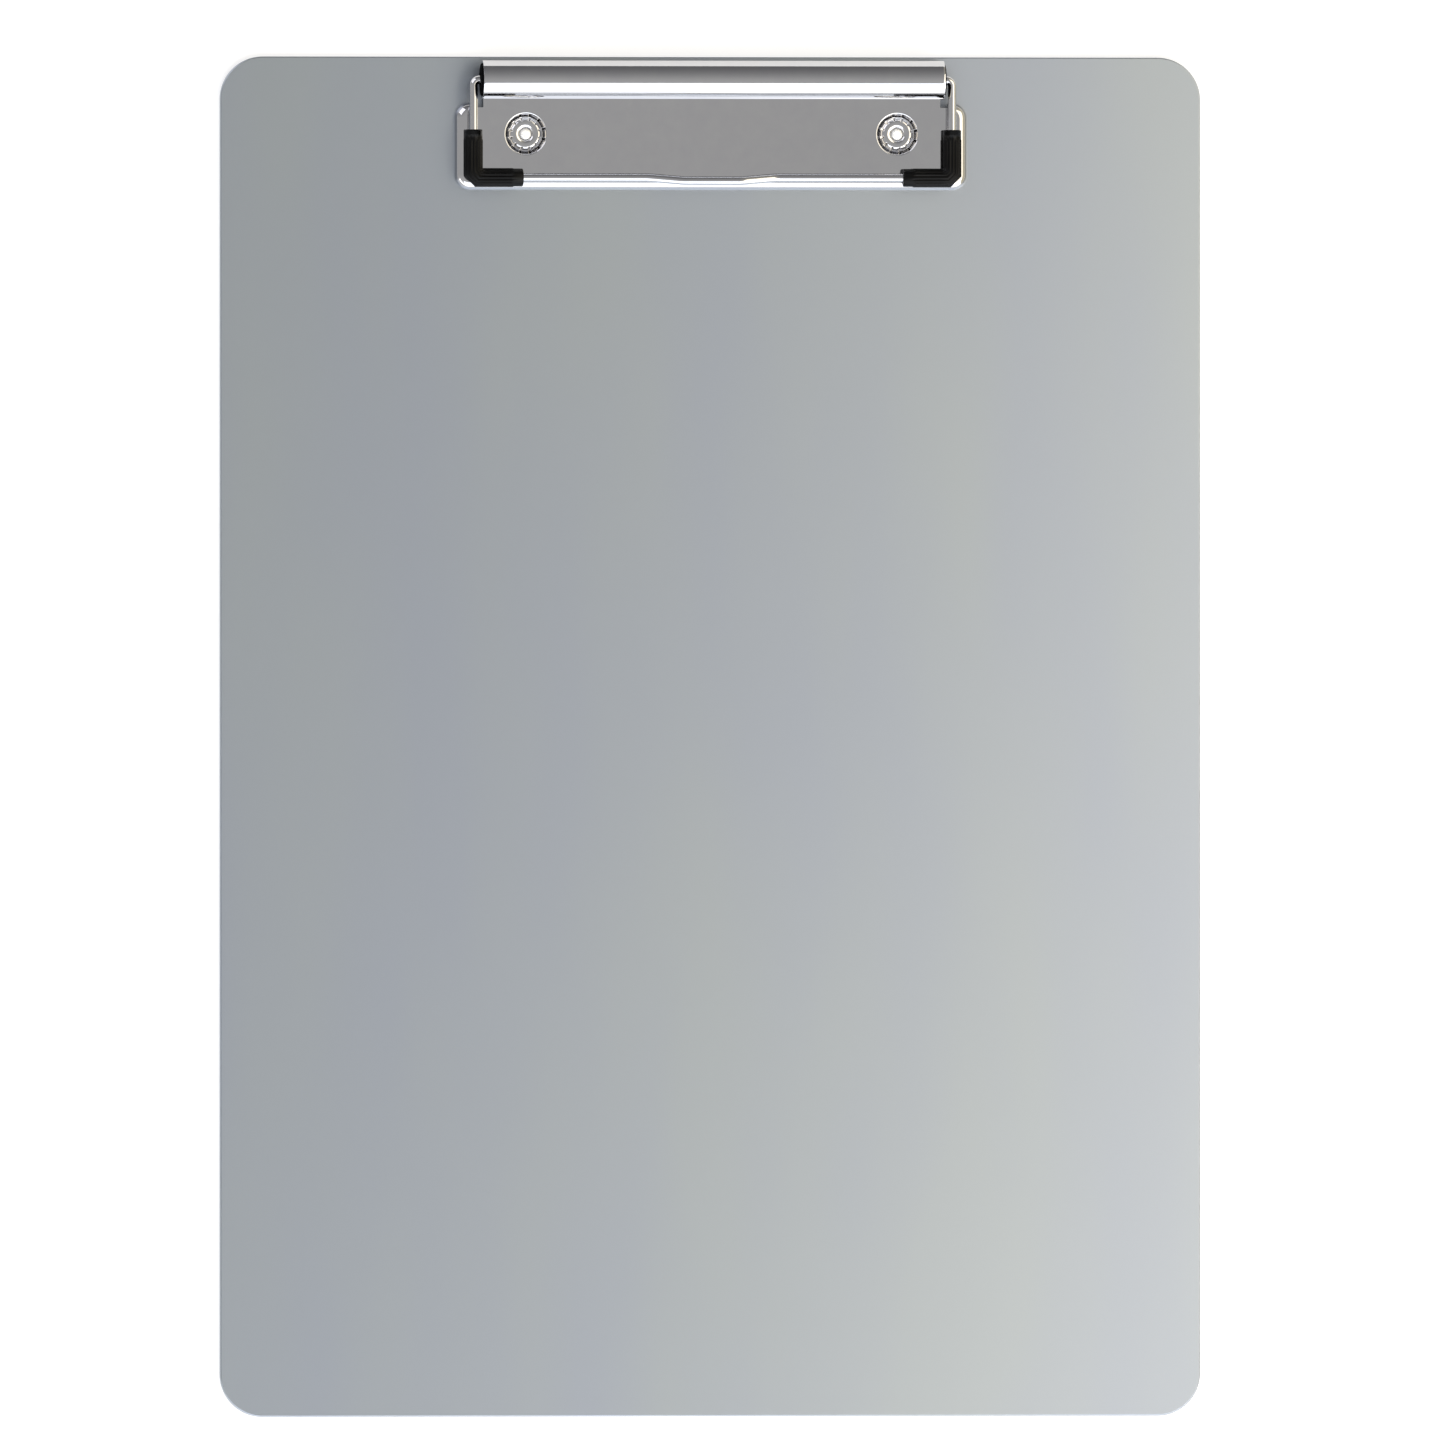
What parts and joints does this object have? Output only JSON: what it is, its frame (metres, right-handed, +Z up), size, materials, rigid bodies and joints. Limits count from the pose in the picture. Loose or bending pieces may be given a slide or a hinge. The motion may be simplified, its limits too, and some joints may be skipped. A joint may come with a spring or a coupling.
{
  "type": "clipboard",
  "caption": "Flat letter-size board with a low-profile wire clip: a sprung wire bail with rubber corner sleeves turns in a rolled steel base and presses sheets down.",
  "frame": {"origin": "middle of the board's flat back face, which is the bottom of the whole object's box", "axes": "+X to the right across the board, +Y along the board towards the clip, +Z up out of the writing face"},
  "size_m": [0.23, 0.317, 0.011],
  "materials": {
    "board": "satin anodised sheet",
    "clip_base": "bright nickel-chrome plated pressed steel",
    "rivets": "bright plated steel",
    "wire": "bright plated spring steel wire",
    "grips": "moulded black rubber with lengthwise ribs",
    "bushes": "moulded black nylon"
  },
  "bodies": {
    "base": {"board": "board", "clip_base": "clip_base", "rivet_left": "rivets", "rivet_right": "rivets", "bush_left": "bushes", "bush_right": "bushes"},
    "bail": {"wire_bail": "wire", "grip_left": "grips", "grip_right": "grips"}
  },
  "joints": [
    {"name": "bail_hinge", "type": "hinge", "parent": "base", "child": "bail", "pos_m": [0, 0.1531, 0.0065], "axis": [-1, 0, 0], "range_deg": [0, 100], "stiffness_Nm_per_rad": 0.2, "springref_deg": -85.94}
  ]
}
